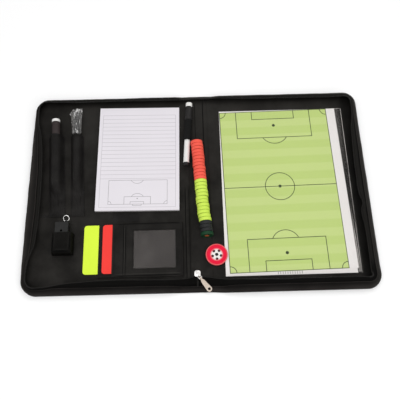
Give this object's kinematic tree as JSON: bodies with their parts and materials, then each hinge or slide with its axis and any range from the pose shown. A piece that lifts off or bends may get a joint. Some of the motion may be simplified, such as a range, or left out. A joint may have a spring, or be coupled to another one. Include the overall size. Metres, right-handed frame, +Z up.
{
  "type": "football coach's tactics folder",
  "caption": "Zip-round black folder lying open: ruled pad, pens, whistle and referee cards on the left, printed pitch sheet under clear film on the right, magnets and toss coin on the spine.",
  "frame": {"origin": "centre of the open folder's outline, on the surface it lies on", "axes": "+X to the right across both halves, +Y away from the near edge where the zip pull is, +Z up out of the open halves"},
  "size_m": [0.569, 0.354, 0.0218],
  "materials": {
    "cover_skin": "grained",
    "stiffener": "plain",
    "magnet_sheet": "plain",
    "lining": "fine grain",
    "gusset": "soft grain",
    "zip_tape": "woven",
    "zip_coil": "ribbed",
    "zip_metal": "nickel",
    "pocket_skin": "fine grain",
    "window_film": "clear",
    "elastic": "woven",
    "white_plastic": "smooth",
    "dark_plastic": "smooth",
    "black_plastic": "smooth",
    "clear_wrap": "crumpled clear",
    "whistle_plastic": "smooth",
    "ring_metal": "bright",
    "yellow_card": "smooth",
    "red_card": "smooth",
    "pad_card": "plain",
    "paper": "matte",
    "sheet_paper": "matte",
    "pitch_print": "printed",
    "cover_film": "clear",
    "orange_magnet": "smooth",
    "yellow_magnet": "smooth",
    "green_magnet": "smooth",
    "coin_enamel": "enamel"
  },
  "bodies": {
    "left_half": {"left_cover": "cover_skin", "left_board": "stiffener", "left_lining": "lining", "left_gusset": "gusset", "left_zip_tape": "zip_tape", "left_zip_coil": "zip_coil", "pen_sleeves": "pocket_skin", "whistle_pouch": "pocket_skin", "pad_tab": "pocket_skin", "pocket_leaf_low": "pocket_skin", "pocket_leaf_mid": "pocket_skin", "pocket_leaf_top": "pocket_skin", "window_film": "window_film"},
    "spine": {"spine_cover": "cover_skin", "spine_lining": "lining", "near_zip_end": "zip_tape", "far_zip_end": "zip_tape", "zip_slider": "zip_metal"},
    "right_half": {"right_cover": "cover_skin", "right_board": "magnet_sheet", "right_lining": "lining", "right_gusset": "gusset", "right_zip_tape": "zip_tape", "right_zip_coil": "zip_coil", "sheet_stack": "sheet_paper", "pitch_sheet": "pitch_print"},
    "cover_film": {"cover_film": "cover_film"},
    "pull_yoke": {"pull_yoke": "zip_metal"},
    "pull_tab": {"pull_tab": "zip_metal"},
    "sleeve_marker": {"sleeve_marker_barrel": "white_plastic", "sleeve_marker_cap": "dark_plastic", "sleeve_marker_plug": "white_plastic"},
    "wrapped_pen": {"wrapped_pen": "white_plastic", "clear_wrap": "clear_wrap"},
    "pen_loop": {"pen_loop": "elastic"},
    "loop_marker": {"loop_marker_tail": "black_plastic", "loop_marker_barrel": "white_plastic", "loop_marker_cap": "black_plastic", "loop_marker_plug": "white_plastic"},
    "whistle": {"whistle_body": "whistle_plastic"},
    "whistle_ring": {"whistle_ring": "ring_metal"},
    "yellow_card": {"yellow_card": "yellow_card"},
    "red_card": {"red_card": "red_card"},
    "notepad": {"pad_backing": "pad_card", "pad_sheets": "paper"},
    "pad_page": {"pad_page": "paper"},
    "magnet_stack": {"orange_magnets": "orange_magnet", "yellow_magnets": "yellow_magnet", "black_magnets": "black_plastic", "green_magnet": "green_magnet"},
    "coin": {"coin_rim": "ring_metal", "coin_face": "coin_enamel"}
  },
  "joints": [
    {"name": "spine_fold", "type": "hinge", "parent": "left_half", "child": "spine", "pos_m": [-0.017, 0, 0.0006], "axis": [0, 1, 0], "range_deg": [-90, 0]},
    {"name": "right_fold", "type": "hinge", "parent": "spine", "child": "right_half", "pos_m": [0.017, 0, 0.0006], "axis": [0, 1, 0], "range_deg": [-90, 0]},
    {"name": "magnets_away", "type": "slide", "parent": "spine", "child": "magnet_stack", "axis": [0, 0, 1], "range_m": [0, 0.34]},
    {"name": "coin_away", "type": "slide", "parent": "spine", "child": "coin", "axis": [0, 0, 1], "range_m": [0, 0.34]},
    {"name": "pull_swivel", "type": "hinge", "parent": "spine", "child": "pull_yoke", "pos_m": [-0.008, -0.1495, 0.00615], "axis": [0, 0, -1], "range_deg": [0, 75]},
    {"name": "pull_tab_swing", "type": "hinge", "parent": "pull_yoke", "child": "pull_tab", "pos_m": [-0.00394, -0.1547, 0.0073], "axis": [-0.788, -0.6157, 0], "range_deg": [0, 150]},
    {"name": "sleeve_marker_pull", "type": "slide", "parent": "left_half", "child": "sleeve_marker", "axis": [-0.0661, 0.9978, 0], "range_m": [0, 0.022]},
    {"name": "wrapped_pen_pull", "type": "slide", "parent": "left_half", "child": "wrapped_pen", "axis": [-0.0515, 0.9987, 0], "range_m": [0, 0.004]},
    {"name": "loop_marker_lean", "type": "hinge", "parent": "left_half", "child": "pen_loop", "pos_m": [-0.0255, -0.0195, 0.0101], "axis": [0, 0, 1], "range_deg": [0, 3.8]},
    {"name": "loop_marker_pull", "type": "slide", "parent": "pen_loop", "child": "loop_marker", "axis": [-0.0657, -0.9978, 0], "range_m": [0, 0.09]},
    {"name": "whistle_pull", "type": "slide", "parent": "left_half", "child": "whistle", "axis": [0, 1, 0], "range_m": [0, 0.03]},
    {"name": "whistle_ring_swing", "type": "hinge", "parent": "whistle", "child": "whistle_ring", "pos_m": [-0.2176, -0.0563, 0.0121], "axis": [1, 0, 0], "range_deg": [0, 70]},
    {"name": "yellow_card_pull", "type": "slide", "parent": "left_half", "child": "yellow_card", "axis": [-1, 0, 0], "range_m": [0, 0.014]},
    {"name": "red_card_pull", "type": "slide", "parent": "left_half", "child": "red_card", "axis": [-1, 0, 0], "range_m": [0, 0.044]},
    {"name": "notepad_lift", "type": "slide", "parent": "left_half", "child": "notepad", "axis": [0, 0, 1], "range_m": [0, 0.04]},
    {"name": "pad_page_turn", "type": "hinge", "parent": "notepad", "child": "pad_page", "pos_m": [-0.10109, 0.15284, 0.0081], "axis": [-0.9999, 0.0157, 0], "range_deg": [0, 120]},
    {"name": "cover_film_turn", "type": "hinge", "parent": "right_half", "child": "cover_film", "pos_m": [0.0417, -0.0035, 0.0043], "axis": [0, -1, 0], "range_deg": [0, 88]}
  ],
  "couplings": [
    {"joint": "right_fold", "follows": "spine_fold", "ratio": 1},
    {"joint": "magnets_away", "follows": "spine_fold", "m_per_rad": -0.2164},
    {"joint": "coin_away", "follows": "spine_fold", "m_per_rad": -0.2164},
    {"joint": "loop_marker_lean", "follows": "spine_fold", "ratio": -0.0402}
  ]
}
